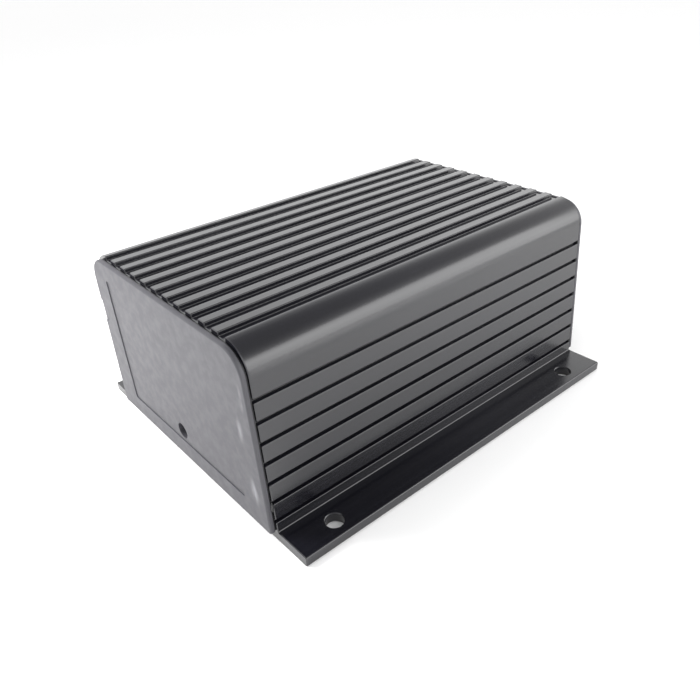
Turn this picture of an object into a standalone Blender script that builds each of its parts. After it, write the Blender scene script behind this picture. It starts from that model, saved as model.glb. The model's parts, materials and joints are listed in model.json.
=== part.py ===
"""Charge controller: a bolt-down power controller in a finned, extruded housing.

Frame: metres, +Z up, +X along the extrusion from the blank end cap to the terminal end,
+Y across it. The origin is on the underside, at the middle of the four mounting holes.
"""

import math

import bmesh
import bpy
from mathutils import Matrix, Vector

MM = 0.001

# Driving dimensions of the housing extrusion.
HOUSING_LENGTH = 169.4 * MM
HOUSING_HEIGHT = 76.2 * MM
BODY_HALF_WIDTH = 57.15 * MM
SIDE_LEAN = 0.047
FLANGE_HALF_WIDTH = 73.0 * MM
FLANGE_THICKNESS = 4.1 * MM
FLANGE_EDGE_RADIUS = 0.6 * MM
FOOT_RADIUS = 0.8 * MM
TOP_CORNER_RADIUS = 10.8 * MM

# Cooling fins on top, one fewer than the grooves between them, and grooves in the sides.
FIN_GROOVE_COUNT = 11
FIN_PITCH = 8.2 * MM
FIN_TOP_WIDTH = 3.8 * MM
FIN_HEIGHT = 1.6 * MM
FIN_DRAFT = 0.25 * MM
FIN_EDGE_RADIUS = 0.35 * MM
SIDE_GROOVE_COUNT = 7
SIDE_GROOVE_FIRST_Z = 9.1 * MM
SIDE_GROOVE_PITCH = 8.16 * MM
SIDE_GROOVE_WIDTH = 1.5 * MM
SIDE_GROOVE_DEPTH = 1.8 * MM

# Mounting holes in the flanges.
MOUNT_HOLE_SPACING_X = 133.8 * MM
MOUNT_HOLE_SPACING_Y = 132.1 * MM
MOUNT_HOLE_RADIUS = 3.5 * MM

# The tunnel through the extrusion: a board slot low down, a screw boss in each top corner.
TUNNEL_HALF_WIDTH = 50.0 * MM
TUNNEL_FLOOR_Z = 6.0 * MM
TUNNEL_ROOF_Z = 67.5 * MM
BOSS_HALF_WIDTH = 43.5 * MM
BOSS_UNDERSIDE_Z = 58.5 * MM
SLOT_HALF_WIDTH = 51.8 * MM
SLOT_BOTTOM_Z = 9.7 * MM
SLOT_TOP_Z = 11.9 * MM
SCREW_CHANNEL_Y = 48.0 * MM
SCREW_CHANNEL_LOW_Z = 7.1 * MM
SCREW_CHANNEL_HIGH_Z = 63.0 * MM
SCREW_CHANNEL_RADIUS = 1.6 * MM

# Both end pieces share an outline, a rim and a plug that locates in the tunnel.
GAP = 0.3 * MM
RIM_SETBACK = 0.45 * MM
RIM_BOTTOM_Z = 3.9 * MM
RIM_TOP_Z = 74.9 * MM
RIM_TOP_RADIUS = 10.0 * MM
RIM_BOTTOM_RADIUS = 1.2 * MM
RIM_THICKNESS = 1.8 * MM
RIM_EDGE_RADIUS = 0.7 * MM
GASKET_THICKNESS = 0.3 * MM
GASKET_CLEARANCE = 0.2 * MM
RIM_PROUD = GASKET_THICKNESS + 2 * GASKET_CLEARANCE + RIM_THICKNESS
PLUG_DEPTH = 5.0 * MM
PLUG_PLATE = 2.2 * MM
PLUG_WALL = 2.0 * MM
PLUG_CLEARANCE = 0.4 * MM

# Blank end cap: label recess, access hole to the trimmer, a pry notch in one side.
LABEL_HALF_WIDTH = 42.4 * MM
LABEL_BOTTOM_Z = 12.3 * MM
LABEL_TOP_Z = 67.2 * MM
LABEL_DEPTH = 0.4 * MM
ACCESS_HOLE_Y = 1.0 * MM
ACCESS_HOLE_Z = 17.0 * MM
ACCESS_HOLE_RADIUS = 3.3 * MM
PRY_NOTCH_Z = 50.3 * MM
PRY_NOTCH_HALF_HEIGHT = 5.0 * MM
PRY_NOTCH_REACH = 5.0 * MM
PRY_NOTCH_DEPTH = 0.5 * MM
SEALANT_BLOB_Z = 15.6 * MM
SEALANT_BLOB_RADIUS = 2.1 * MM

# Power terminals through the terminal cover.
BUS_BAR_Y = (-29.0 * MM, 0.0, 29.0 * MM)
BUS_BAR_WIDTH = 22.0 * MM
BUS_BAR_THICKNESS = 3.0 * MM
BUS_BAR_Z = 24.0 * MM
BUS_BAR_TIP = 22.0 * MM
BUS_BAR_FOOT = 15.0 * MM
BUS_BAR_INSIDE = 32.0 * MM
BOLT_FROM_TIP = 9.5 * MM
BOLT_RADIUS = 4.0 * MM
BOLT_LENGTH = 20.0 * MM
BOLT_HEAD_HEIGHT = 5.3 * MM
HEX_ACROSS_FLATS = 13.0 * MM
NUT_HEIGHT = 6.5 * MM
WASHER_RADIUS = 8.0 * MM
WASHER_THICKNESS = 1.4 * MM
BARRIER_Y = (-14.5 * MM, 14.5 * MM)
BARRIER_THICKNESS = 2.2 * MM
BARRIER_REACH = 17.0 * MM
BARRIER_BOTTOM_Z = 13.0 * MM
BARRIER_TOP_Z = 41.0 * MM

# Control tabs, status light and cover screws on the terminal cover.
TAB_COUNT = 5
TAB_PITCH = 12.0 * MM
TAB_Z = 51.5 * MM
TAB_HEIGHT = 6.3 * MM
TAB_THICKNESS = 0.8 * MM
TAB_REACH = 8.5 * MM
TAB_INSIDE = 9.0 * MM
LED_Y = 37.0 * MM
LED_RADIUS = 2.5 * MM
LED_FLANGE_RADIUS = 3.1 * MM
LED_INSIDE = 7.0 * MM
SCREW_RADIUS = 1.25 * MM
SCREW_LENGTH = 14.0 * MM
SCREW_HEAD_RADIUS = 2.8 * MM
SCREW_HEAD_HEIGHT = 2.0 * MM
SCREW_SOCKET_RADIUS = 1.1 * MM
SCREW_SOCKET_DEPTH = 1.1 * MM

# Boards inside.
BOARD_THICKNESS = 1.6 * MM
POWER_BOARD_HALF_LENGTH = 74.0 * MM
POWER_BOARD_HALF_WIDTH = 51.5 * MM
CONTROL_BOARD_Y = -14.0 * MM
CONTROL_BOARD_X = (-66.0 * MM, 34.0 * MM)
CONTROL_BOARD_Z = (20.8 * MM, 60.0 * MM)
HEADER_X = (-40.0 * MM, 8.0 * MM)
HEADER_WIDTH = 5.0 * MM

# Power transistors clamped to both side walls.
TRANSISTOR_X = (-44.0 * MM, -14.0 * MM, 16.0 * MM)
TRANSISTOR_WIDTH = 16.0 * MM
TRANSISTOR_BODY_Z = (22.0 * MM, 43.0 * MM)
TRANSISTOR_THICKNESS = 5.0 * MM
TRANSISTOR_LEG_PITCH = 5.45 * MM
TRANSISTOR_LEG_WIDTH = 1.3 * MM
TRANSISTOR_LEG_THICKNESS = 0.7 * MM
PAD_THICKNESS = 0.5 * MM
PAD_X = (-55.0 * MM, 27.0 * MM)
PAD_Z = (21.0 * MM, 44.0 * MM)
CLAMP_X = (-54.0 * MM, 26.0 * MM)
CLAMP_THICKNESS = 6.0 * MM
CLAMP_HALF_HEIGHT = 5.0 * MM
CLAMP_SCREW_X = (-29.0 * MM, 1.0 * MM)
CLAMP_SCREW_Z = 37.7 * MM
CLAMP_SCREW_RADIUS = 1.7 * MM
CLAMP_SCREW_DEPTH = 3.4 * MM
CLAMP_SCREW_HEAD_RADIUS = 3.5 * MM
CLAMP_SCREW_HEAD_HEIGHT = 3.0 * MM

# Capacitors, shunt and trimmer on the power board.
CAPACITOR_X = (-46.0 * MM, -23.0 * MM, 0.0, 23.0 * MM)
CAPACITOR_Y = 16.0 * MM
CAPACITOR_RADIUS = 9.0 * MM
CAPACITOR_HEIGHT = 35.0 * MM
SHUNT_X = (40.0 * MM, 46.0 * MM)
SHUNT_Y = (-27.0 * MM, -5.0 * MM)
SHUNT_THICKNESS = 1.5 * MM
SHUNT_HEIGHT = 8.0 * MM
TRIMMER_FRONT_X = -77.4 * MM
TRIMMER_SIZE = 9.6 * MM
TRIMMER_HEIGHT = 10.2 * MM
ROTOR_RADIUS = 2.9 * MM
ROTOR_THICKNESS = 2.4 * MM
ROTOR_POCKET_RADIUS = 3.2 * MM
ROTOR_SLOT_WIDTH = 0.8 * MM
ROTOR_SLOT_DEPTH = 1.0 * MM

ARC_STEPS = 8
ROUND_SIDES = 24
SMALL_ROUND_SIDES = 16
SHARP_ANGLE = math.radians(35.0)
NEAR_END_X = -HOUSING_LENGTH / 2
FAR_END_X = HOUSING_LENGTH / 2
BOARD_BOTTOM_Z = SLOT_BOTTOM_Z + GAP
BOARD_TOP_Z = BOARD_BOTTOM_Z + BOARD_THICKNESS
ON_BOARD_Z = BOARD_TOP_Z + GAP
TERMINAL_TIP_X = FAR_END_X + BUS_BAR_TIP

MATERIALS = {
    "anodised_aluminium": ((0.045, 0.046, 0.052), 0.42, 0.85),
    "cap_plastic": ((0.055, 0.055, 0.06), 0.5, 0.0),
    "sealant": ((0.02, 0.02, 0.022), 0.55, 0.0),
    "zinc_steel": ((0.62, 0.62, 0.64), 0.35, 1.0),
    "tinned_copper": ((0.7, 0.69, 0.66), 0.3, 1.0),
    "brass_tab": ((0.72, 0.68, 0.58), 0.3, 1.0),
    "led_lens": ((0.05, 0.55, 0.12), 0.15, 0.0),
    "circuit_board": ((0.02, 0.14, 0.06), 0.45, 0.0),
    "header_plastic": ((0.03, 0.03, 0.03), 0.5, 0.0),
    "transistor_epoxy": ((0.025, 0.025, 0.027), 0.55, 0.0),
    "thermal_pad": ((0.35, 0.37, 0.40), 0.7, 0.0),
    "plain_aluminium": ((0.72, 0.73, 0.75), 0.35, 1.0),
    "capacitor_sleeve": ((0.03, 0.05, 0.16), 0.35, 0.0),
    "shunt_metal": ((0.45, 0.36, 0.28), 0.35, 1.0),
    "trimmer_plastic": ((0.05, 0.12, 0.42), 0.4, 0.0),
    "rotor_plastic": ((0.05, 0.05, 0.052), 0.45, 0.0),
}


def make_material(name):
    """One Principled material with its colour, roughness and metallic value."""
    colour, roughness, metallic = MATERIALS[name]
    material = bpy.data.materials.new(name)
    material.use_nodes = True
    shader = material.node_tree.nodes["Principled BSDF"]
    shader.inputs["Base Color"].default_value = (*colour, 1.0)
    shader.inputs["Roughness"].default_value = roughness
    shader.inputs["Metallic"].default_value = metallic
    return material


def clear_scene():
    for item in list(bpy.data.objects):
        bpy.data.objects.remove(item, do_unlink=True)


def add_object(name, mesh_builder, material=None, smooth=False):
    """Turn a bmesh into a named object; without a material it is a hidden tool."""
    bmesh.ops.recalc_face_normals(mesh_builder, faces=mesh_builder.faces)
    mesh = bpy.data.meshes.new(name)
    mesh_builder.to_mesh(mesh)
    mesh_builder.free()
    item = bpy.data.objects.new(name, mesh)
    bpy.context.scene.collection.objects.link(item)
    if material is None:
        item.hide_render = True
        item.display_type = "WIRE"
    else:
        mesh.materials.append(material)
    if smooth:
        mesh.shade_smooth()
        mesh.set_sharp_from_angle(angle=SHARP_ANGLE)
    return item


def place(axis, u, v, w):
    """Section coordinates (u, v) and the length w along axis, as a point."""
    if axis == "X":
        return Vector((w, u, v))
    if axis == "Y":
        return Vector((u, w, v))
    return Vector((u, v, w))


def extrude_section(outer, holes, start, end, axis="X"):
    """A prism of a closed outline, with holes, between two planes across axis."""
    mesh = bmesh.new()
    edges = []
    for loop in [outer, *holes]:
        corners = [mesh.verts.new(place(axis, u, v, start)) for u, v in loop]
        for index, corner in enumerate(corners):
            edges.append(mesh.edges.new((corners[index - 1], corner)))
    filled = bmesh.ops.triangle_fill(mesh, edges=edges, use_beauty=True)
    faces = [part for part in filled["geom"] if isinstance(part, bmesh.types.BMFace)]
    grown = bmesh.ops.extrude_face_region(mesh, geom=faces)
    moved = [part for part in grown["geom"] if isinstance(part, bmesh.types.BMVert)]
    shift = place(axis, 0.0, 0.0, end - start)
    bmesh.ops.translate(mesh, verts=moved, vec=shift)
    return mesh


def loft(rings):
    """A solid through rings of equal point count, closed by a face at each end."""
    mesh = bmesh.new()
    rows = [[mesh.verts.new(point) for point in ring] for ring in rings]
    count = len(rows[0])
    for lower, upper in zip(rows, rows[1:]):
        for index in range(count):
            following = (index + 1) % count
            mesh.faces.new((lower[index], lower[following], upper[following], upper[index]))
    mesh.faces.new(rows[0])
    mesh.faces.new(rows[-1])
    return mesh


def box(low, high):
    """An axis-aligned box between two corners."""
    outline = [(low[0], low[1]), (high[0], low[1]), (high[0], high[1]), (low[0], high[1])]
    return extrude_section(outline, [], low[2], high[2], "Z")


def arc(centre_u, centre_v, radius, start, end, steps=ARC_STEPS):
    """Points on an arc between two angles in degrees, both ends included."""
    points = []
    for step in range(steps + 1):
        angle = math.radians(start + (end - start) * step / steps)
        points.append((centre_u + radius * math.cos(angle), centre_v + radius * math.sin(angle)))
    return points


def circle(centre_u, centre_v, radius, sides=ROUND_SIDES):
    return arc(centre_u, centre_v, radius, 0.0, 360.0 * (sides - 1) / sides, sides - 1)


def turned(profile, sides=ROUND_SIDES):
    """A solid of revolution about Z from (radius, height) pairs, lowest first."""
    rings = []
    for radius, height in profile:
        rings.append([Vector((u, v, height)) for u, v in circle(0.0, 0.0, radius, sides)])
    return loft(rings)


def move(item, location, rotation=(0.0, 0.0, 0.0)):
    item.location = location
    item.rotation_euler = rotation


def boolean(target, tool, operation):
    modifier = target.modifiers.new(tool.name, "BOOLEAN")
    modifier.operation = operation
    modifier.solver = "EXACT"
    modifier.object = tool


def cut(target, tool):
    boolean(target, tool, "DIFFERENCE")


def merge(target, tool):
    boolean(target, tool, "UNION")


def mirrored(half):
    """Close a half outline, listed from one crossing of u=0 to the other, by its mirror image."""
    other = [(-u, v) for u, v in reversed(half) if u > 0.0]
    return half + other


def side_y(z):
    """How far the leaning side is from the middle at a height."""
    return BODY_HALF_WIDTH - SIDE_LEAN * (z - FLANGE_THICKNESS)


def side_groove_points(centre_z):
    """One groove in the +Y side, listed upwards."""
    low = centre_z - SIDE_GROOVE_WIDTH / 2
    high = centre_z + SIDE_GROOVE_WIDTH / 2
    floor_y = side_y(centre_z) - SIDE_GROOVE_DEPTH
    return [(side_y(low), low), (floor_y, low), (floor_y, high), (side_y(high), high)]


def fin_groove_points(centre_y):
    """One groove between two fins, listed towards -Y, with eased outer edges."""
    top = HOUSING_HEIGHT
    floor_z = top - FIN_HEIGHT
    half_top = (FIN_PITCH - FIN_TOP_WIDTH) / 2
    half_floor = half_top - FIN_DRAFT
    eased = half_top + FIN_EDGE_RADIUS
    return [
        (centre_y + eased, top),
        (centre_y + half_top, top - FIN_EDGE_RADIUS),
        (centre_y + half_floor, floor_z),
        (centre_y - half_floor, floor_z),
        (centre_y - half_top, top - FIN_EDGE_RADIUS),
        (centre_y - eased, top),
    ]


def housing_outline():
    """The outside of the extrusion: flange, side grooves, round corner and fins."""
    half = [(0.0, 0.0)]
    edge = FLANGE_EDGE_RADIUS
    tip = FLANGE_HALF_WIDTH
    half += arc(tip - edge, edge, edge, -90.0, 0.0, 2)
    half += arc(tip - edge, FLANGE_THICKNESS - edge, edge, 0.0, 90.0, 2)
    foot_y = BODY_HALF_WIDTH + FOOT_RADIUS
    half += arc(foot_y, FLANGE_THICKNESS + FOOT_RADIUS, FOOT_RADIUS, 270.0, 180.0, 3)
    for index in range(SIDE_GROOVE_COUNT):
        half += side_groove_points(SIDE_GROOVE_FIRST_Z + index * SIDE_GROOVE_PITCH)
    centre_z = HOUSING_HEIGHT - TOP_CORNER_RADIUS
    centre_y = side_y(centre_z) - TOP_CORNER_RADIUS
    half += arc(centre_y, centre_z, TOP_CORNER_RADIUS, math.degrees(SIDE_LEAN), 88.0)
    for index in range(FIN_GROOVE_COUNT // 2, 0, -1):
        half += fin_groove_points(index * FIN_PITCH)
    half += fin_groove_points(0.0)[:3]
    return mirrored(half)


def tunnel_outline():
    """The inside of the extrusion, with the board slot and the top screw bosses."""
    half = [
        (0.0, TUNNEL_FLOOR_Z),
        (BOSS_HALF_WIDTH, TUNNEL_FLOOR_Z),
        (BOSS_HALF_WIDTH, SLOT_BOTTOM_Z),
        (SLOT_HALF_WIDTH, SLOT_BOTTOM_Z),
        (SLOT_HALF_WIDTH, SLOT_TOP_Z),
        (TUNNEL_HALF_WIDTH, SLOT_TOP_Z),
        (TUNNEL_HALF_WIDTH, BOSS_UNDERSIDE_Z),
        (BOSS_HALF_WIDTH, BOSS_UNDERSIDE_Z),
        (BOSS_HALF_WIDTH, TUNNEL_ROOF_Z),
        (0.0, TUNNEL_ROOF_Z),
    ]
    return mirrored(half)


def screw_places():
    """The four screw channels, as (y, z)."""
    places = []
    for z in (SCREW_CHANNEL_LOW_Z, SCREW_CHANNEL_HIGH_Z):
        for side in (-1, 1):
            places.append((side * SCREW_CHANNEL_Y, z))
    return places


def make_housing(materials):
    channels = [circle(y, z, SCREW_CHANNEL_RADIUS, 12) for y, z in screw_places()]
    section = extrude_section(
        housing_outline(), [tunnel_outline(), *channels], NEAR_END_X, FAR_END_X
    )
    housing = add_object("housing", section, materials["anodised_aluminium"], smooth=True)
    drills = []
    for x_side in (-1, 1):
        for y_side in (-1, 1):
            centre = (x_side * MOUNT_HOLE_SPACING_X / 2, y_side * MOUNT_HOLE_SPACING_Y / 2)
            outline = circle(*centre, MOUNT_HOLE_RADIUS)
            drills.append(extrude_section(outline, [], -MM, FLANGE_THICKNESS + MM, "Z"))
    hole_radius = CLAMP_SCREW_RADIUS + GAP
    hole_end = TUNNEL_HALF_WIDTH + CLAMP_SCREW_DEPTH + GAP
    for x in CLAMP_SCREW_X:
        for side in (-1, 1):
            outline = circle(x, CLAMP_SCREW_Z, hole_radius, SMALL_ROUND_SIDES)
            start = side * (TUNNEL_HALF_WIDTH - MM)
            drills.append(extrude_section(outline, [], start, side * hole_end, "Y"))
    for index, drill in enumerate(drills):
        cut(housing, add_object(f"housing_drill_{index + 1}", drill))


def rim_y(z):
    """How far the rim's edge is from the middle at a height."""
    return side_y(z) - RIM_SETBACK


def rim_outline(inset=0.0):
    """The shared outline of both end pieces, drawn in by inset."""
    top_radius = RIM_TOP_RADIUS - inset
    bottom_radius = max(RIM_BOTTOM_RADIUS - inset, 0.2 * MM)
    low = RIM_BOTTOM_Z + inset
    high = RIM_TOP_Z - inset
    low_centre = (rim_y(low + bottom_radius) - inset - bottom_radius, low + bottom_radius)
    high_centre = (rim_y(high - top_radius) - inset - top_radius, high - top_radius)
    half = [(0.0, low)]
    half += arc(*low_centre, bottom_radius, -90.0, 0.0, 3)
    half += arc(*high_centre, top_radius, math.degrees(SIDE_LEAN), 90.0)
    half.append((0.0, high))
    return mirrored(half)


def plug_outline(shrink):
    """The tunnel's outline above the board slot, drawn in by shrink."""
    half = [
        (0.0, TUNNEL_FLOOR_Z + shrink),
        (BOSS_HALF_WIDTH - shrink, TUNNEL_FLOOR_Z + shrink),
        (BOSS_HALF_WIDTH - shrink, SLOT_TOP_Z + shrink),
        (TUNNEL_HALF_WIDTH - shrink, SLOT_TOP_Z + shrink),
        (TUNNEL_HALF_WIDTH - shrink, BOSS_UNDERSIDE_Z - shrink),
        (BOSS_HALF_WIDTH - shrink, BOSS_UNDERSIDE_Z - shrink),
        (BOSS_HALF_WIDTH - shrink, TUNNEL_ROOF_Z - shrink),
        (0.0, TUNNEL_ROOF_Z - shrink),
    ]
    return mirrored(half)


def end_piece(name, end_x, outward, material):
    """A rim with an eased outer edge, and a hollow plug that reaches into the tunnel."""
    face_x = end_x + outward * RIM_PROUD
    back_x = face_x - outward * RIM_THICKNESS
    eased = RIM_EDGE_RADIUS
    rings = []
    for turn in (90.0, 60.0, 30.0, 0.0):
        angle = math.radians(turn)
        inset = eased * (1.0 - math.cos(angle))
        x = face_x - outward * eased * (1.0 - math.sin(angle))
        rings.append([Vector((x, y, z)) for y, z in rim_outline(inset)])
    rings.append([Vector((back_x, y, z)) for y, z in rim_outline()])
    piece = add_object(name, loft(rings), material, smooth=True)
    plug_end = end_x - outward * PLUG_DEPTH
    inside_rim = back_x + outward * RIM_THICKNESS / 4
    plug = extrude_section(plug_outline(PLUG_CLEARANCE), [], inside_rim, plug_end)
    merge(piece, add_object(f"{name}_plug", plug))
    hollow_start = back_x - outward * PLUG_PLATE
    hollow_end = plug_end - outward * MM
    hollow = extrude_section(plug_outline(PLUG_CLEARANCE + PLUG_WALL), [], hollow_start, hollow_end)
    cut(piece, add_object(f"{name}_hollow", hollow))
    return piece, face_x


def make_end_cap(materials):
    cap, face_x = end_piece("end_cap", NEAR_END_X, -1, materials["cap_plastic"])
    recess_low = (face_x - MM, -LABEL_HALF_WIDTH, LABEL_BOTTOM_Z)
    recess_high = (face_x + LABEL_DEPTH, LABEL_HALF_WIDTH, LABEL_TOP_Z)
    cut(cap, add_object("end_cap_label_recess", box(recess_low, recess_high)))
    hole = circle(ACCESS_HOLE_Y, ACCESS_HOLE_Z, ACCESS_HOLE_RADIUS)
    drill = extrude_section(hole, [], face_x - MM, face_x + PLUG_DEPTH)
    cut(cap, add_object("end_cap_access_drill", drill))
    edge_y = rim_y(PRY_NOTCH_Z)
    notch = []
    for across, along in arc(0.0, 0.0, 1.0, -90.0, 90.0):
        reach = edge_y - PRY_NOTCH_REACH * across
        notch.append((reach, PRY_NOTCH_Z + PRY_NOTCH_HALF_HEIGHT * along))
    notch.append((edge_y + MM, notch[-1][1]))
    notch.append((edge_y + MM, notch[0][1]))
    cutter = extrude_section(notch, [], face_x - MM, face_x + PRY_NOTCH_DEPTH)
    cut(cap, add_object("end_cap_pry_notch", cutter))


def gasket_ring(end_x, outward):
    """The flat ring between a rim and the end of the extrusion."""
    start = end_x + outward * GASKET_CLEARANCE
    end = start + outward * GASKET_THICKNESS
    holes = [plug_outline(0.0)]
    holes += [circle(y, z, SCREW_CHANNEL_RADIUS, 12) for y, z in screw_places()]
    return extrude_section(rim_outline(0.3 * MM), holes, start, end)


def make_gaskets(materials):
    sealant = add_object("cap_sealant", gasket_ring(NEAR_END_X, -1), materials["sealant"])
    start = NEAR_END_X - GASKET_CLEARANCE
    edge_y = -rim_y(SEALANT_BLOB_Z)
    outline = []
    for across, along in arc(0.0, 0.0, 1.0, 90.0, 270.0, 6):
        outline.append((edge_y + MM * across, SEALANT_BLOB_Z + SEALANT_BLOB_RADIUS * along))
    outline.append((edge_y + MM, SEALANT_BLOB_Z - SEALANT_BLOB_RADIUS))
    outline.append((edge_y + MM, SEALANT_BLOB_Z + SEALANT_BLOB_RADIUS))
    blob = extrude_section(outline, [], start, start - GASKET_THICKNESS)
    merge(sealant, add_object("cap_sealant_blob", blob))
    add_object("cover_gasket", gasket_ring(FAR_END_X, 1), materials["sealant"])


def make_terminal_cover(materials):
    cover, face_x = end_piece("terminal_cover", FAR_END_X, 1, materials["cap_plastic"])
    for index, y in enumerate(BARRIER_Y):
        low = (face_x - RIM_THICKNESS / 2, y - BARRIER_THICKNESS / 2, BARRIER_BOTTOM_Z)
        high = (face_x + BARRIER_REACH, y + BARRIER_THICKNESS / 2, BARRIER_TOP_Z)
        merge(cover, add_object(f"terminal_cover_barrier_{index + 1}", box(low, high)))
    inside_x = face_x - PLUG_DEPTH - 4 * MM
    outside_x = face_x + MM
    for index, y in enumerate(BUS_BAR_Y):
        half = BUS_BAR_WIDTH / 2 + GAP
        low = (inside_x, y - half, BUS_BAR_Z - GAP)
        high = (outside_x, y + half, BUS_BAR_Z + BUS_BAR_THICKNESS + GAP)
        cut(cover, add_object(f"terminal_cover_bar_slot_{index + 1}", box(low, high)))
    for index, y in enumerate(tab_places()):
        half = TAB_THICKNESS / 2 + GAP
        low = (inside_x, y - half, TAB_Z - TAB_HEIGHT / 2 - GAP)
        high = (outside_x, y + half, TAB_Z + TAB_HEIGHT / 2 + GAP)
        cut(cover, add_object(f"terminal_cover_tab_slot_{index + 1}", box(low, high)))
    led = extrude_section(circle(LED_Y, TAB_Z, LED_RADIUS + GAP), [], inside_x, outside_x)
    cut(cover, add_object("terminal_cover_led_drill", led))
    for index, (y, z) in enumerate(screw_places()):
        hole = circle(y, z, SCREW_RADIUS + GAP, SMALL_ROUND_SIDES)
        drill = extrude_section(hole, [], inside_x, outside_x)
        cut(cover, add_object(f"terminal_cover_screw_drill_{index + 1}", drill))
    return face_x


def make_cover_screws(materials, face_x):
    """Pan-head screws along X, each with a hexagon socket in its head."""
    head_back = face_x + GAP
    for index, (y, z) in enumerate(screw_places()):
        profile = [
            (SCREW_RADIUS * 0.6, -SCREW_LENGTH),
            (SCREW_RADIUS, -SCREW_LENGTH + MM),
            (SCREW_RADIUS, 0.0),
            (SCREW_HEAD_RADIUS, 0.0),
            (SCREW_HEAD_RADIUS, SCREW_HEAD_HEIGHT * 0.55),
            (SCREW_HEAD_RADIUS * 0.72, SCREW_HEAD_HEIGHT),
        ]
        name = f"cover_screw_{index + 1}"
        screw = add_object(name, turned(profile, SMALL_ROUND_SIDES), materials["zinc_steel"], True)
        socket = circle(0.0, 0.0, SCREW_SOCKET_RADIUS, 6)
        low = SCREW_HEAD_HEIGHT - SCREW_SOCKET_DEPTH
        tool = extrude_section(socket, [], low, SCREW_HEAD_HEIGHT + MM, "Z")
        cutter = add_object(f"{name}_socket", tool)
        for item in (screw, cutter):
            move(item, (head_back, y, z), (0.0, math.pi / 2, 0.0))
        cut(screw, cutter)


def make_power_terminals(materials):
    """Three bus bars with their bolts, washers and nuts."""
    low = BUS_BAR_Z
    high = BUS_BAR_Z + BUS_BAR_THICKNESS
    riser_x = TERMINAL_TIP_X - BUS_BAR_TIP - BUS_BAR_INSIDE + BUS_BAR_FOOT
    foot_x = riser_x - BUS_BAR_FOOT
    foot_top = ON_BOARD_Z + BUS_BAR_THICKNESS
    side_view = [
        (foot_x, ON_BOARD_Z),
        (riser_x, ON_BOARD_Z),
        (riser_x, low),
        (TERMINAL_TIP_X, low),
        (TERMINAL_TIP_X, high),
        (riser_x - BUS_BAR_THICKNESS, high),
        (riser_x - BUS_BAR_THICKNESS, foot_top),
        (foot_x, foot_top),
    ]
    bolt_x = TERMINAL_TIP_X - BOLT_FROM_TIP
    hole_radius = BOLT_RADIUS + GAP
    hexagon_radius = HEX_ACROSS_FLATS / math.sqrt(3.0)
    head_top = low - GAP
    washer_bottom = high + GAP
    nut_bottom = washer_bottom + WASHER_THICKNESS + GAP
    for index, y in enumerate(BUS_BAR_Y):
        number = index + 1
        half = BUS_BAR_WIDTH / 2
        bar = add_object(
            f"bus_bar_{number}",
            extrude_section(side_view, [], y - half, y + half, "Y"),
            materials["tinned_copper"],
        )
        hole = circle(bolt_x, y, hole_radius)
        drill = extrude_section(hole, [], low - MM, high + MM, "Z")
        cut(bar, add_object(f"bus_bar_{number}_drill", drill))
        hexagon = circle(bolt_x, y, hexagon_radius, 6)
        head = extrude_section(hexagon, [], head_top - BOLT_HEAD_HEIGHT, head_top, "Z")
        bolt = add_object(f"terminal_bolt_{number}", head, materials["zinc_steel"])
        shank = circle(bolt_x, y, BOLT_RADIUS, SMALL_ROUND_SIDES)
        shank_start = head_top - BOLT_HEAD_HEIGHT / 2
        shank_mesh = extrude_section(shank, [], shank_start, head_top + BOLT_LENGTH, "Z")
        merge(bolt, add_object(f"terminal_bolt_{number}_shank", shank_mesh))
        opening = circle(bolt_x, y, hole_radius, SMALL_ROUND_SIDES)
        add_object(
            f"terminal_washer_{number}",
            extrude_section(
                circle(bolt_x, y, WASHER_RADIUS), [opening],
                washer_bottom, washer_bottom + WASHER_THICKNESS, "Z",
            ),
            materials["zinc_steel"],
        )
        add_object(
            f"terminal_nut_{number}",
            extrude_section(hexagon, [opening], nut_bottom, nut_bottom + NUT_HEIGHT, "Z"),
            materials["zinc_steel"],
        )


def tab_places():
    """The y of each control tab."""
    return [(index - (TAB_COUNT - 1) / 2) * TAB_PITCH for index in range(TAB_COUNT)]


def make_control_tabs(materials, face_x):
    """Push-on tabs with a pointed tip, standing on edge through the cover."""
    inner_x = face_x - TAB_INSIDE
    tip_x = face_x + TAB_REACH
    half = TAB_HEIGHT / 2
    taper = 1.4 * MM
    side_view = [
        (inner_x, TAB_Z - half),
        (tip_x - taper, TAB_Z - half),
        (tip_x, TAB_Z - half + taper),
        (tip_x, TAB_Z + half - taper),
        (tip_x - taper, TAB_Z + half),
        (inner_x, TAB_Z + half),
    ]
    eye = circle(tip_x - 3.2 * MM, TAB_Z, 0.8 * MM, 8)
    for index, y in enumerate(tab_places()):
        mesh = extrude_section(
            side_view, [eye], y - TAB_THICKNESS / 2, y + TAB_THICKNESS / 2, "Y"
        )
        add_object(f"control_tab_{index + 1}", mesh, materials["brass_tab"])


def make_status_light(materials, face_x):
    """A domed lens on a small flange, pushed through the cover from the front."""
    dome = [(LED_RADIUS * math.cos(a), GAP + MM + LED_RADIUS * 0.8 * math.sin(a))
            for a in (0.0, math.radians(30.0), math.radians(60.0), math.radians(82.0))]
    profile = [
        (LED_RADIUS, -LED_INSIDE),
        (LED_RADIUS, GAP),
        (LED_FLANGE_RADIUS, GAP),
        (LED_FLANGE_RADIUS, GAP + MM),
        *dome,
    ]
    light = add_object("status_light", turned(profile), materials["led_lens"], smooth=True)
    move(light, (face_x, LED_Y, TAB_Z), (0.0, math.pi / 2, 0.0))


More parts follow.
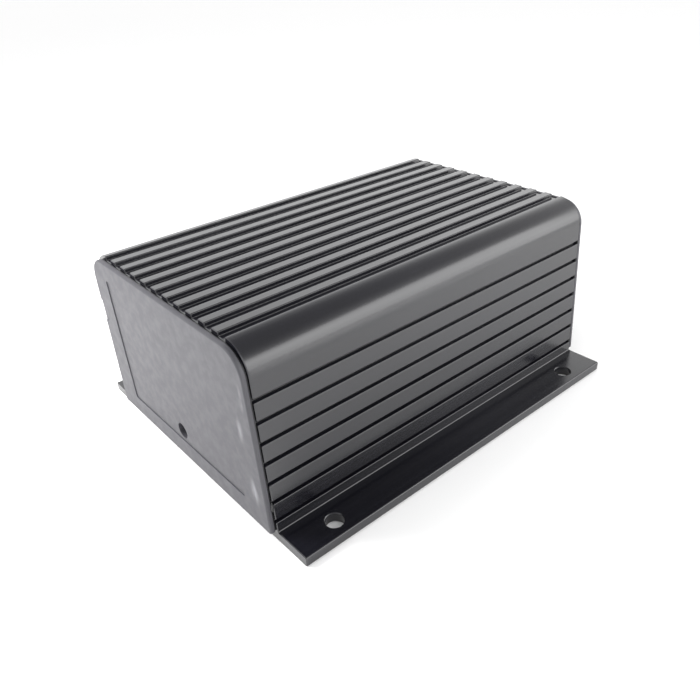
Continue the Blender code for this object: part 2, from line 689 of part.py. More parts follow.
def make_boards(materials):
    half_length = POWER_BOARD_HALF_LENGTH
    half_width = POWER_BOARD_HALF_WIDTH
    low = (-half_length, -half_width, BOARD_BOTTOM_Z)
    high = (half_length, half_width, BOARD_TOP_Z)
    add_object("power_board", box(low, high), materials["circuit_board"])
    half = BOARD_THICKNESS / 2
    low = (CONTROL_BOARD_X[0], CONTROL_BOARD_Y - half, CONTROL_BOARD_Z[0])
    high = (CONTROL_BOARD_X[1], CONTROL_BOARD_Y + half, CONTROL_BOARD_Z[1])
    add_object("control_board", box(low, high), materials["circuit_board"])
    half = HEADER_WIDTH / 2
    low = (HEADER_X[0], CONTROL_BOARD_Y - half, ON_BOARD_Z)
    high = (HEADER_X[1], CONTROL_BOARD_Y + half, CONTROL_BOARD_Z[0] - GAP)
    add_object("board_header", box(low, high), materials["header_plastic"])


def make_transistors(materials):
    """Three clamped transistors on each side wall, with their insulating pads and clamps."""
    for side, side_name in ((-1, "near"), (1, "far")):
        wall = TUNNEL_HALF_WIDTH
        pad_outer = wall - GAP
        pad_inner = pad_outer - PAD_THICKNESS
        back = pad_inner - GAP
        front = back - TRANSISTOR_THICKNESS
        clamp_outer = front - GAP
        clamp_inner = clamp_outer - CLAMP_THICKNESS
        pad_outline = [(PAD_X[0], PAD_Z[0]), (PAD_X[1], PAD_Z[0]),
                       (PAD_X[1], PAD_Z[1]), (PAD_X[0], PAD_Z[1])]
        clamp_low = CLAMP_SCREW_Z - CLAMP_HALF_HEIGHT
        clamp_high = CLAMP_SCREW_Z + CLAMP_HALF_HEIGHT
        clamp_outline = [(CLAMP_X[0], clamp_low), (CLAMP_X[1], clamp_low),
                         (CLAMP_X[1], clamp_high), (CLAMP_X[0], clamp_high)]
        hole_radius = CLAMP_SCREW_RADIUS + GAP
        holes = [circle(x, CLAMP_SCREW_Z, hole_radius, SMALL_ROUND_SIDES) for x in CLAMP_SCREW_X]
        pad = extrude_section(pad_outline, holes, side * pad_inner, side * pad_outer, "Y")
        add_object(f"thermal_pad_{side_name}", pad, materials["thermal_pad"])
        clamp = extrude_section(clamp_outline, holes, side * clamp_inner, side * clamp_outer, "Y")
        add_object(f"transistor_clamp_{side_name}", clamp, materials["plain_aluminium"])
        for index, x in enumerate(TRANSISTOR_X):
            name = f"transistor_{side_name}_{index + 1}"
            ends = sorted((side * front, side * back))
            half = TRANSISTOR_WIDTH / 2
            low = (x - half, ends[0], TRANSISTOR_BODY_Z[0])
            high = (x + half, ends[1], TRANSISTOR_BODY_Z[1])
            body = box(low, high)
            transistor = add_object(name, body, materials["transistor_epoxy"])
            middle = side * (front + back) / 2
            for leg in (-1, 0, 1):
                leg_x = x + leg * TRANSISTOR_LEG_PITCH
                leg_half = TRANSISTOR_LEG_WIDTH / 2
                half_leg = TRANSISTOR_LEG_THICKNESS / 2
                low = (leg_x - leg_half, middle - half_leg, ON_BOARD_Z)
                high = (leg_x + leg_half, middle + half_leg, TRANSISTOR_BODY_Z[0] + MM)
                merge(transistor, add_object(f"{name}_leg_{leg + 2}", box(low, high)))
        for index, x in enumerate(CLAMP_SCREW_X):
            make_clamp_screw(materials, f"clamp_screw_{side_name}_{index + 1}", x, side, clamp_inner)


def make_clamp_screw(materials, name, x, side, clamp_inner):
    """A cap screw along Y, its head inside and its tip in the side wall."""
    reach = TUNNEL_HALF_WIDTH + CLAMP_SCREW_DEPTH - clamp_inner
    profile = [
        (CLAMP_SCREW_HEAD_RADIUS, -GAP - CLAMP_SCREW_HEAD_HEIGHT),
        (CLAMP_SCREW_HEAD_RADIUS, -GAP),
        (CLAMP_SCREW_RADIUS, -GAP),
        (CLAMP_SCREW_RADIUS, reach),
    ]
    screw = add_object(name, turned(profile, SMALL_ROUND_SIDES), materials["zinc_steel"], smooth=True)
    move(screw, (x, side * clamp_inner, CLAMP_SCREW_Z), (-side * math.pi / 2, 0.0, 0.0))


def make_capacitors(materials):
    """Aluminium cans with a rolled groove near the base and an eased top edge."""
    radius = CAPACITOR_RADIUS
    for index, x in enumerate(CAPACITOR_X):
        profile = [
            (radius - 0.4 * MM, 0.0),
            (radius, 0.4 * MM),
            (radius, 2.6 * MM),
            (radius - 0.7 * MM, 3.4 * MM),
            (radius, 4.2 * MM),
            (radius, CAPACITOR_HEIGHT - 0.7 * MM),
            (radius - 0.7 * MM, CAPACITOR_HEIGHT),
        ]
        can = add_object(f"capacitor_{index + 1}", turned(profile), materials["capacitor_sleeve"], True)
        move(can, (x, CAPACITOR_Y, ON_BOARD_Z))


def make_shunt(materials):
    """A bent strip that bridges two points of the power board."""
    top = ON_BOARD_Z + SHUNT_HEIGHT
    low_y, high_y = SHUNT_Y
    thick = SHUNT_THICKNESS
    outline = [
        (low_y, ON_BOARD_Z), (low_y + thick, ON_BOARD_Z), (low_y + thick, top - thick),
        (high_y - thick, top - thick), (high_y - thick, ON_BOARD_Z), (high_y, ON_BOARD_Z),
        (high_y, top), (low_y, top),
    ]
    add_object("current_shunt", extrude_section(outline, [], *SHUNT_X), materials["shunt_metal"])


def make_trimmer(materials):
    """The limit trimmer behind the access hole; its rotor turns about X."""
    half = TRIMMER_SIZE / 2
    low = (TRIMMER_FRONT_X, ACCESS_HOLE_Y - half, ON_BOARD_Z)
    high = (TRIMMER_FRONT_X + TRIMMER_SIZE, ACCESS_HOLE_Y + half, ON_BOARD_Z + TRIMMER_HEIGHT)
    body = add_object("trimmer_body", box(low, high), materials["trimmer_plastic"])
    pocket = circle(ACCESS_HOLE_Y, ACCESS_HOLE_Z, ROTOR_POCKET_RADIUS)
    pocket_end = TRIMMER_FRONT_X + ROTOR_THICKNESS + GAP
    drill = extrude_section(pocket, [], TRIMMER_FRONT_X - MM, pocket_end)
    cut(body, add_object("trimmer_body_pocket", drill))

    axis = bpy.data.objects.new("trimmer_axis", None)
    bpy.context.scene.collection.objects.link(axis)
    axis.location = (TRIMMER_FRONT_X, ACCESS_HOLE_Y, ACCESS_HOLE_Z)
    rotor_mesh = extrude_section(circle(0.0, 0.0, ROTOR_RADIUS), [], 0.0, ROTOR_THICKNESS)
    rotor = add_object("trimmer_rotor", rotor_mesh, materials["rotor_plastic"])
    slot_half = ROTOR_SLOT_WIDTH / 2
    slot = box((-MM, -ROTOR_RADIUS - MM, -slot_half), (ROTOR_SLOT_DEPTH, ROTOR_RADIUS + MM, slot_half))
    tool = add_object("trimmer_rotor_slot", slot)
    rotor.parent = axis
    tool.parent = axis
    cut(rotor, tool)


def main():
    clear_scene()
    materials = {name: make_material(name) for name in MATERIALS}
    make_housing(materials)
    make_end_cap(materials)
    make_gaskets(materials)
    face_x = make_terminal_cover(materials)
    make_cover_screws(materials, face_x)
    make_power_terminals(materials)
    make_control_tabs(materials, face_x)
    make_status_light(materials, face_x)
    make_boards(materials)
    make_transistors(materials)
    make_capacitors(materials)
    make_shunt(materials)
    make_trimmer(materials)


main()
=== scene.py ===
import json
import math

import bmesh
import bpy
from mathutils import Matrix, Vector


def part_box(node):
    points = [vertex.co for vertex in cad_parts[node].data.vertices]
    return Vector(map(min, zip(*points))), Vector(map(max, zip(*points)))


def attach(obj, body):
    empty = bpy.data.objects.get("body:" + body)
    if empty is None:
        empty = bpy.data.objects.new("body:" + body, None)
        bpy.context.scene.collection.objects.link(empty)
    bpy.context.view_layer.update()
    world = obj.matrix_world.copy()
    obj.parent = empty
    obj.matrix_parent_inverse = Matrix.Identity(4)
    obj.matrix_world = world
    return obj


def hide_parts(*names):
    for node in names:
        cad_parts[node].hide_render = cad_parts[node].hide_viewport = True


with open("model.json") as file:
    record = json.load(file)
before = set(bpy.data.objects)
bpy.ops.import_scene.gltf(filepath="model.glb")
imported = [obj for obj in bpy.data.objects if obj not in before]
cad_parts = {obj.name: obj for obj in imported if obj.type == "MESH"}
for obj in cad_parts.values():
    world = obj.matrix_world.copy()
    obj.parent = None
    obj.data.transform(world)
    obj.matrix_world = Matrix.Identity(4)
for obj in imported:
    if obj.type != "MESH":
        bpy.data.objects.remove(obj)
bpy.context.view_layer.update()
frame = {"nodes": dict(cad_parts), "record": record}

MM = 0.001
ROOT = "controller"

# The housing's half length, half width and height come from its CAD node; the rest of its section is here.
HALF_LENGTH, FLANGE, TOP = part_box("housing")[1]
FLANGE_TOP = 4.1 * MM
FLANGE_EASE, FLANGE_FILLET = 0.6 * MM, 0.5 * MM
BODY = 57.15 * MM             # half width where the side meets the flange
SIDE_LEAN = 0.047             # inwards for each unit of height
CORNER = 10.8 * MM
CORNER_ARC_END = 88.0         # degrees
FIN_GROOVES_EACH_SIDE = 5
FIN_PITCH = 8.2 * MM
FIN_HEIGHT = 1.6 * MM
FIN_EASE = 0.35 * MM
GROOVE_HALF = 2.2 * MM
GROOVE_DRAFT = 0.25 * MM
SIDE_GROOVES = 7
SIDE_GROOVE_Z = 9.1 * MM
SIDE_GROOVE_PITCH = 8.16 * MM
SIDE_GROOVE_HALF = 0.75 * MM
SIDE_GROOVE_DEPTH = 1.8 * MM
SIDE_GROOVE_EASE, SIDE_GROOVE_FILLET = 0.28 * MM, 0.15 * MM
END_CHAMFER = 0.3 * MM
MOUNT_X, MOUNT_Y, MOUNT_R = 66.9 * MM, 66.05 * MM, 3.5 * MM
MOUNT_EASE = 0.25 * MM

# The tunnel through the housing is narrower at its floor and roof, and has a slot that holds the board.
TUNNEL_HALF, TUNNEL_NARROW = 50.0 * MM, 43.5 * MM
TUNNEL_FLOOR, TUNNEL_ROOF = 6.0 * MM, 67.5 * MM
WIDE_LOW, WIDE_HIGH = 11.9 * MM, 58.5 * MM
SLOT_HALF, SLOT_FLOOR = 51.8 * MM, 9.7 * MM
SCREW_Y, SCREW_HEIGHTS = 48.0 * MM, (7.1 * MM, 63.0 * MM)
SCREW_CHANNEL = 1.6 * MM

# Both end pieces have a rim against the housing and a hollow plug that enters the tunnel.
FACE = HALF_LENGTH + 2.5 * MM
RIM_BACK = FACE - 1.8 * MM
RIM_SETBACK = 0.45 * MM
RIM_LOW, RIM_TOP = 3.9 * MM, 74.9 * MM
RIM_TOP_RADIUS, RIM_LOW_RADIUS = 10.0 * MM, 1.2 * MM
RIM_EDGE, RIM_BACK_EASE = 0.7 * MM, 0.15 * MM
PLUG_GAP, PLUG_LENGTH, PLUG_ROOT = 0.4 * MM, 5.0 * MM, 0.4 * MM
HOLLOW_INSET, HOLLOW_ROOT = 2.4 * MM, 2.2 * MM

# The end cap's label recess, access hole and thumb notch
LABEL_HALF, LABEL_LOW, LABEL_HIGH = 42.4 * MM, 12.3 * MM, 67.2 * MM
LABEL_DEPTH, LABEL_EASE, LABEL_CORNER, LABEL_DRAFT = 0.4 * MM, 0.1 * MM, 1.0 * MM, 0.06 * MM
HOLE_Y, HOLE_Z, HOLE_R = 1.0 * MM, 17.0 * MM, 3.3 * MM
HOLE_EASE, HOLE_DEPTH = 0.05 * MM, 9.0 * MM
NOTCH_Z, NOTCH_R, NOTCH_DEPTH, NOTCH_EASE = 50.3 * MM, 5.0 * MM, 0.5 * MM, 0.15 * MM

# The bead of sealant behind the cap's rim, and the smear that squeezed out of it
BEAD_START, BEAD_END, BEAD_INSET = 0.2 * MM, 0.5 * MM, 0.35 * MM
SMEAR_Z = 15.6 * MM
SMEAR_SIZE = Vector((0.55, 0.62, 2.1)) * MM

# The terminal end: walls between the bars, slots for bars and tabs, and holes for light and screws
WALL_Y, WALL_HALF, WALL_REACH, WALL_CORNER = 14.5 * MM, 1.1 * MM, 17.0 * MM, 2.5 * MM
WALL_LOW, WALL_HIGH = 13.0 * MM, 41.0 * MM
SLOT_GAP, SLOT_CORNER, SLOT_EASE, BAR_SLOT_DROP = 0.3 * MM, 0.5 * MM, 0.25 * MM, 3.3 * MM
LIGHT_HOLE, SCREW_HOLE, HOLE_CHAMFER = 2.8 * MM, 1.55 * MM, 0.2 * MM
HEX_FLATS, BOLT_HEAD, THREAD_START = 13.0 * MM, 5.3 * MM, 4.6 * MM
THREAD_R, THREAD_PITCH, THREAD_DEPTH = 4.0 * MM, 1.25 * MM, 0.6 * MM
WASHER_R, WASHER_BORE, WASHER_EASE, NUT_BORE = 8.0 * MM, 4.3 * MM, 0.3 * MM, 4.15 * MM
HEAD_R, HEAD_HEIGHT, SHANK_R = 2.8 * MM, 2.0 * MM, 1.25 * MM
SOCKET_R, SOCKET_DEPTH = 1.1 * MM, 1.1 * MM
DOME_START, DOME_HEIGHT, DOME_SWEEP = 0.75 * MM, 1.25 * MM, 70.0
LENS_R, COLLAR_R, LENS_HEIGHT, LENS_SWEEP = 2.5 * MM, 3.1 * MM, 2.0 * MM, 84.0
COLLAR_LOW, COLLAR_HIGH, COLLAR_EASE = 0.3 * MM, 1.3 * MM, 0.1 * MM

# The trimmer's rotor, and its screwdriver slot
ROTOR_R, ROTOR_EASE = 2.9 * MM, 0.25 * MM
ROTOR_SLOT_HALF, ROTOR_SLOT_REACH = 0.4 * MM, 4.0 * MM

# Edges sharper than these many degrees stay sharp.
SMOOTH_ANGLE, MOULDED_ANGLE = 28.0, 32.0

# A rounded corner takes one edge for each ROUND_STEP degrees and at most EDGE_SHARE of an edge beside it.
# A corner opener than NEARLY_STRAIGHT degrees stays as it is.
ROUND_STEP, NEARLY_STRAIGHT, EDGE_SHARE = 22.0, 177.0, 0.49
ON_AXIS = 1e-7


# ---------------------------------------------------------------- mesh helpers

def finish_mesh(name, bm, material, body=ROOT, replaces=(), smooth=True, angle=SMOOTH_ANGLE):
    """A bmesh becomes a named piece that rides on a body and stands for CAD nodes."""
    bmesh.ops.recalc_face_normals(bm, faces=bm.faces)
    mesh = bpy.data.meshes.new(name)
    bm.to_mesh(mesh)
    bm.free()
    piece = bpy.data.objects.new(name, mesh)
    bpy.context.scene.collection.objects.link(piece)
    mesh.materials.append(material)
    if smooth:
        mesh.shade_smooth()
        mesh.set_sharp_from_angle(angle=math.radians(angle))
    if body:
        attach(piece, body)
    if replaces:
        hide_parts(*replaces)
    return piece


def weighted(piece):
    """Flat faces stay flat between their rounded edges."""
    modifier = piece.modifiers.new("flat faces", "WEIGHTED_NORMAL")
    modifier.keep_sharp = True
    modifier.weight = 90


def applied(piece):
    """Bakes the piece's modifiers into its mesh."""
    graph = bpy.context.evaluated_depsgraph_get()
    mesh = bpy.data.meshes.new_from_object(piece.evaluated_get(graph))
    old = piece.data
    piece.modifiers.clear()
    piece.data = mesh
    bpy.data.meshes.remove(old)


def carve(piece, cutters, operation="DIFFERENCE"):
    """Boolean with tools that are removed afterwards."""
    tools = []
    for index, bm in enumerate(cutters):
        bmesh.ops.recalc_face_normals(bm, faces=bm.faces)
        mesh = bpy.data.meshes.new(f"tool {index}")
        bm.to_mesh(mesh)
        bm.free()
        tool = bpy.data.objects.new(f"tool {index}", mesh)
        bpy.context.scene.collection.objects.link(tool)
        tools.append(tool)
        modifier = piece.modifiers.new(f"cut {index}", "BOOLEAN")
        modifier.operation = operation
        modifier.solver = "EXACT"
        modifier.object = tool
    bpy.context.view_layer.update()
    applied(piece)
    for tool in tools:
        mesh = tool.data
        bpy.data.objects.remove(tool, do_unlink=True)
        bpy.data.meshes.remove(mesh)


def resharpen(piece, angle=SMOOTH_ANGLE):
    """Smooth shading that breaks at edges sharper than the angle."""
    piece.data.shade_smooth()
    piece.data.set_sharp_from_angle(angle=math.radians(angle))


def arc(u, v, radius, start, end, steps):
    """Points round a centre, from one angle to another in degrees."""
    points = []
    for step in range(steps + 1):
        turn = math.radians(start + (end - start) * step / steps)
        points.append((u + radius * math.cos(turn), v + radius * math.sin(turn)))
    return points


def circle(u, v, radius, sides):
    return arc(u, v, radius, 0.0, 360.0 * (sides - 1) / sides, sides - 1)


def rounded(corners):
    """A polygon of (u, v, radius) corners, each radius turned into an arc that fits its edges."""
    points = []
    count = len(corners)
    for index, (u, v, radius) in enumerate(corners):
        here = Vector((u, v))
        before = Vector(corners[index - 1][:2]) - here
        after = Vector(corners[(index + 1) % count][:2]) - here
        if radius <= 0.0:
            points.append((u, v))
            continue
        before_length, after_length = before.length, after.length
        before.normalize()
        after.normalize()
        opening = before.angle(after)
        if opening > math.radians(NEARLY_STRAIGHT):
            points.append((u, v))
            continue
        reach = min(radius / math.tan(opening / 2), before_length * EDGE_SHARE, after_length * EDGE_SHARE)
        true_radius = reach * math.tan(opening / 2)
        centre = here + (before + after).normalized() * (true_radius / math.sin(opening / 2))
        first = here + before * reach - centre
        sweep = math.pi - opening
        turn = 1.0 if first.cross(here + after * reach - centre) > 0 else -1.0
        steps = max(1, math.ceil(math.degrees(sweep) / ROUND_STEP))
        for step in range(steps + 1):
            angle = turn * sweep * step / steps
            cosine, sine = math.cos(angle), math.sin(angle)
            points.append((centre.x + first.x * cosine - first.y * sine,
                           centre.y + first.x * sine + first.y * cosine))
    return points


def mirrored(half):
    """An outline from its +u half, whose first and last points are on the middle line."""
    return half + [(-u, v) for u, v in reversed(half) if u > ON_AXIS]


def inset(points, distance):
    """The outline drawn in by a small distance; points run anticlockwise."""
    result = []
    count = len(points)
    for index, point in enumerate(points):
        ahead = Vector(points[(index + 1) % count]) - Vector(point)
        behind = Vector(point) - Vector(points[index - 1])
        normal = Vector((-ahead.y, ahead.x)).normalized()
        normal += Vector((-behind.y, behind.x)).normalized()
        normal.normalize()
        result.append((point[0] + normal.x * distance, point[1] + normal.y * distance))
    return result


def place(axis, u, v, w):
    """A point at w along the axis and (u, v) across it."""
    if axis == "X":
        return Vector((w, u, v))
    if axis == "Y":
        return Vector((u, w, v))
    return Vector((u, v, w))


def skin(bm, rings):
    """Quads between each ring of vertices and the next."""
    for lower, upper in zip(rings, rings[1:]):
        count = len(lower)
        for index in range(count):
            following = (index + 1) % count
            bm.faces.new((lower[index], lower[following], upper[following], upper[index]))


def add_ring(bm, points, w, axis="X"):
    """The outline's vertices, at w along the axis."""
    return [bm.verts.new(place(axis, u, v, w)) for u, v in points]


def close(bm, *loops):
    """Fills the plane region bounded by one outer loop and any inner loops."""
    edges = []
    for loop in loops:
        for index, vert in enumerate(loop):
            pair = (loop[index - 1], vert)
            edges.append(bm.edges.get(pair) or bm.edges.new(pair))
    bmesh.ops.triangle_fill(bm, edges=edges, use_beauty=True)


def close_ends(bm, *stacks):
    """Fills both ends of a stack of rings; a second stack is the wall of a hole through it."""
    for end in (0, -1):
        close(bm, *(rings[end] for rings in stacks))


def box_middle(low, high):
    """The middle of a box, looking along X."""
    return (low.y + high.y) / 2, (low.z + high.z) / 2


def prism(outline, start, end, axis="X", holes=(), chamfer=0.0):
    """A closed prism with an optional chamfer round both ends of its outline."""
    bm = bmesh.new()
    sign = 1.0 if end > start else -1.0
    if chamfer > 0.0:
        small = inset(outline, chamfer)
        stations = [(small, start), (outline, start + sign * chamfer),
                    (outline, end - sign * chamfer), (small, end)]
    else:
        stations = [(outline, start), (outline, end)]
    rings = [add_ring(bm, points, w, axis) for points, w in stations]
    skin(bm, rings)
    ends = [[rings[0]], [rings[-1]]]
    for hole in holes:
        inner = [add_ring(bm, hole, w, axis) for w in (start, end)]
        skin(bm, inner)
        ends[0].append(inner[0])
        ends[1].append(inner[1])
    for loops in ends:
        close(bm, *loops)
    return bm


def turned(profile, sides=40, axis="Z", centre=(0.0, 0.0)):
    """A solid of revolution from (radius, position along axis) pairs."""
    bm = bmesh.new()
    rings = []
    for radius, w in profile:
        rings.append(add_ring(bm, circle(centre[0], centre[1], radius, sides), w, axis))
    skin(bm, rings)
    close_ends(bm, rings)
    return bm


# ---------------------------------------------------------------- materials

def new_material(name, colour, roughness, metallic=0.0, **sockets):
    """A material with plain values, some of which a node may replace afterwards."""
    material = bpy.data.materials.new(name)
    material.use_nodes = True
    shader = material.node_tree.nodes["Principled BSDF"]
    shader.inputs["Base Color"].default_value = (*colour, 1.0)
    shader.inputs["Roughness"].default_value = roughness
    shader.inputs["Metallic"].default_value = metallic
    for socket, value in sockets.items():
        shader.inputs[socket.replace("_", " ")].default_value = value
    return material


class Nodes:
    """Short forms for the nodes that the materials share."""

    def __init__(self, material):
        self.tree = material.node_tree
        self.shader = self.tree.nodes["Principled BSDF"]
        self.place = self.tree.nodes.new("ShaderNodeTexCoord").outputs["Object"]

    def link(self, source, target):
        self.tree.links.new(source, target)
        return source

    def stretched(self, stretch):
        node = self.tree.nodes.new("ShaderNodeMapping")
        node.inputs["Scale"].default_value = stretch
        self.link(self.place, node.inputs["Vector"])
        return node.outputs["Vector"]

    def noise(self, scale, detail=3.0, rough=0.5, stretch=(1.0, 1.0, 1.0)):
        node = self.tree.nodes.new("ShaderNodeTexNoise")
        node.inputs["Scale"].default_value = scale
        node.inputs["Detail"].default_value = detail
        node.inputs["Roughness"].default_value = rough
        node.inputs["Distortion"].default_value = 0.0
        self.link(self.stretched(stretch), node.inputs["Vector"])
        return node.outputs["Fac"]

    def ramp(self, source, low, high, from_low=0.3, from_high=0.7):
        """Eases from low to high as the source goes from from_low to from_high."""
        node = self.tree.nodes.new("ShaderNodeMapRange")
        node.interpolation_type = "SMOOTHSTEP"
        node.inputs["From Min"].default_value = from_low
        node.inputs["From Max"].default_value = from_high
        node.inputs["To Min"].default_value = low
        node.inputs["To Max"].default_value = high
        self.link(source, node.inputs["Value"])
        return node.outputs["Result"]

    def math(self, operation, first, second):
        node = self.tree.nodes.new("ShaderNodeMath")
        node.operation = operation
        for socket, value in zip(node.inputs, (first, second)):
            if isinstance(value, (int, float)):
                socket.default_value = value
            else:
                self.link(value, socket)
        return node.outputs[0]

    def mix(self, factor, first, second):
        node = self.tree.nodes.new("ShaderNodeMix")
        node.data_type = "RGBA"
        self.link(factor, node.inputs["Factor"])
        colours = [socket for socket in node.inputs if socket.type == "RGBA"]
        for socket, value in zip(colours, (first, second)):
            if isinstance(value, tuple):
                socket.default_value = (*value, 1.0)
            else:
                self.link(value, socket)
        return [socket for socket in node.outputs if socket.type == "RGBA"][0]

    def bump(self, height, distance, strength=1.0, previous=None):
        node = self.tree.nodes.new("ShaderNodeBump")
        node.inputs["Distance"].default_value = distance
        node.inputs["Strength"].default_value = strength
        self.link(height, node.inputs["Height"])
        if previous is not None:
            self.link(previous, node.inputs["Normal"])
        return node.outputs["Normal"]

    def spot(self, centre, radius, squash=(1.0, 1.0, 1.0)):
        """1 at a point of the surface, falling to 0 at radius."""
        node = self.tree.nodes.new("ShaderNodeVectorMath")
        node.operation = "SUBTRACT"
        self.link(self.place, node.inputs[0])
        node.inputs[1].default_value = centre
        shape = self.tree.nodes.new("ShaderNodeVectorMath")
        shape.operation = "MULTIPLY"
        self.link(node.outputs["Vector"], shape.inputs[0])
        shape.inputs[1].default_value = squash
        length = self.tree.nodes.new("ShaderNodeVectorMath")
        length.operation = "LENGTH"
        self.link(shape.outputs["Vector"], length.inputs[0])
        return self.ramp(length.outputs["Value"], 1.0, 0.0, from_low=0.0, from_high=radius)

    def out(self, socket, source):
        self.link(source, self.shader.inputs[socket])


def anodised_aluminium():
    """Satin black anodising: faint straight die lines, fine grain and slow changes of gloss."""
    material = new_material("anodised black aluminium", (0.006, 0.006, 0.009), 0.22, IOR=1.7)
    nodes = Nodes(material)
    lines = nodes.noise(900.0, detail=2.0, stretch=(0.002, 1.0, 1.0))
    grain = nodes.noise(2600.0, detail=2.0)
    cloud = nodes.noise(30.0, stretch=(0.35, 1.0, 1.0))
    tint = nodes.mix(nodes.ramp(cloud, 0.0, 1.0, from_low=0.35), (0.005, 0.005, 0.008), (0.008, 0.008, 0.012))
    streaks = nodes.ramp(lines, 0.0, 0.35, from_low=0.5, from_high=0.75)
    nodes.out("Base Color", nodes.mix(streaks, tint, (0.014, 0.014, 0.019)))
    nodes.out("Roughness", nodes.math("ADD", nodes.ramp(lines, 0.2, 0.25), nodes.ramp(cloud, -0.02, 0.025)))
    line_bump = nodes.bump(lines, 0.000006, strength=0.5)
    nodes.out("Normal", nodes.bump(grain, 0.000008, strength=0.6, previous=line_bump))
    return material


# Light marks on the cap's face, partly scuff wear and partly painted highlight, as (y, z, radius, strength),
# and one dark speck as (y, z, radius)
WEAR_AND_HIGHLIGHTS = ((-50.9 * MM, 58.4 * MM, 3.6 * MM, 0.5), (-50.3 * MM, 20.0 * MM, 4.6 * MM, 0.62),
          (-47.2 * MM, 44.5 * MM, 3.6 * MM, 0.5))
WEAR_AND_HIGHLIGHT_SQUASH = (1.0, 1.6, 0.55)
SPECK_Y, SPECK_Z, SPECK_R = -13.9 * MM, 26.9 * MM, 0.5 * MM


def cap_plastic():
    """Fine-grained grey moulding with a few light marks along its near edge, partly scuff wear and partly
    painted highlight.
    """
    material = new_material("cap moulding", (0.071, 0.07, 0.08), 0.5, IOR=1.5)
    nodes = Nodes(material)
    grain = nodes.noise(1700.0, rough=0.6)
    cloud = nodes.noise(22.0)
    fine = nodes.noise(240.0, detail=4.0, rough=0.6)
    patches = nodes.ramp(cloud, 0.0, 1.0, from_high=0.72)
    base = nodes.mix(patches, (0.060, 0.059, 0.068), (0.064, 0.063, 0.072))
    base = nodes.mix(nodes.ramp(fine, 0.0, 0.12, from_low=0.5, from_high=0.8), base, (0.09, 0.089, 0.1))
    wear_and_highlight_mask = None
    # Painted highlight: lighter grey streaks along the near edge, partly scuff wear and partly painted
    # highlight.
    for y, z, radius, strength in WEAR_AND_HIGHLIGHTS:
        streaks = nodes.noise(240.0, stretch=(1.0, 1.0, 0.3))
        rubbed_and_lit = nodes.ramp(streaks, 0.0, strength, from_low=0.38, from_high=0.6)
        wear_and_highlight = nodes.math("MULTIPLY", nodes.spot((-FACE, y, z), radius, WEAR_AND_HIGHLIGHT_SQUASH), rubbed_and_lit)
        wear_and_highlight_mask = wear_and_highlight if wear_and_highlight_mask is None else nodes.math("MAXIMUM", wear_and_highlight_mask, wear_and_highlight)
    base = nodes.mix(wear_and_highlight_mask, base, (0.3, 0.3, 0.32))
    speck = nodes.spot((-FACE + LABEL_DEPTH, SPECK_Y, SPECK_Z), SPECK_R)
    nodes.out("Base Color", nodes.mix(speck, base, (0.03, 0.03, 0.03)))
    nodes.out("Roughness", nodes.ramp(fine, 0.46, 0.56))
    fine_bump = nodes.bump(fine, 0.00002, strength=0.2)
    nodes.out("Normal", nodes.bump(grain, 0.000014, strength=0.45, previous=fine_bump))
    return material


def noisy(name, colour, roughness, metallic=0.0, spread=0.25, scale=260.0, bump=0.00001,
          stretch=(1.0, 1.0, 1.0), **sockets):
    """A material whose colour, roughness and surface vary by a fine noise."""
    material = new_material(name, colour, roughness, metallic, **sockets)
    nodes = Nodes(material)
    cloud = nodes.noise(scale, detail=4.0, rough=0.6, stretch=stretch)
    dark = tuple(channel * (1.0 - spread) for channel in colour)
    light = tuple(min(1.0, channel * (1.0 + spread)) for channel in colour)
    nodes.out("Base Color", nodes.mix(nodes.ramp(cloud, 0.0, 1.0), dark, light))
    nodes.out("Roughness", nodes.ramp(cloud, roughness * 0.8, roughness * 1.25))
    nodes.out("Normal", nodes.bump(nodes.noise(scale * 7.0, detail=2.0, stretch=stretch), bump, strength=0.5))
    return material


ANODISED = anodised_aluminium()
CAP = cap_plastic()
SEALANT = noisy("sealant", (0.012, 0.012, 0.013), 0.34, spread=0.3, scale=500.0)
ZINC = noisy("zinc plated steel", (0.36, 0.36, 0.38), 0.3, 1.0, 0.07, 260.0, 0.000004)
TIN = noisy("tin plated copper", (0.42, 0.41, 0.39), 0.34, 1.0, 0.08, 300.0, 0.000004, (0.15, 1.0, 1.0))
TAB = noisy("tin plated brass", (0.45, 0.42, 0.34), 0.3, 1.0, 0.08, 500.0, 0.000004)
LENS = noisy("green lens", (0.02, 0.42, 0.09), 0.08, 0.0, 0.1, 300.0, Transmission_Weight=0.35, IOR=1.49)
BOARD = noisy("solder mask", (0.012, 0.11, 0.045), 0.32, 0.0, 0.3, 700.0)
HEADER = noisy("connector moulding", (0.02, 0.02, 0.021), 0.45, 0.0, 0.2, 400.0)
EPOXY = noisy("transistor epoxy", (0.022, 0.022, 0.024), 0.5, 0.0, 0.25, 900.0)
PAD = noisy("thermal pad", (0.30, 0.33, 0.37), 0.7, 0.0, 0.12, 900.0)
PLAIN = noisy("plain aluminium", (0.66, 0.67, 0.69), 0.33, 1.0, 0.12, 300.0, stretch=(0.1, 1.0, 1.0))
SLEEVE = noisy("capacitor sleeve", (0.02, 0.035, 0.13), 0.25, 0.0, 0.2, 300.0)
ALLOY = noisy("shunt alloy", (0.42, 0.34, 0.27), 0.35, 1.0, 0.15, 300.0)
TRIMMER = noisy("trimmer body", (0.03, 0.09, 0.38), 0.35, 0.0, 0.15, 600.0)
ROTOR = noisy("trimmer rotor", (0.01, 0.01, 0.011), 0.45, 0.0, 0.12, 600.0)

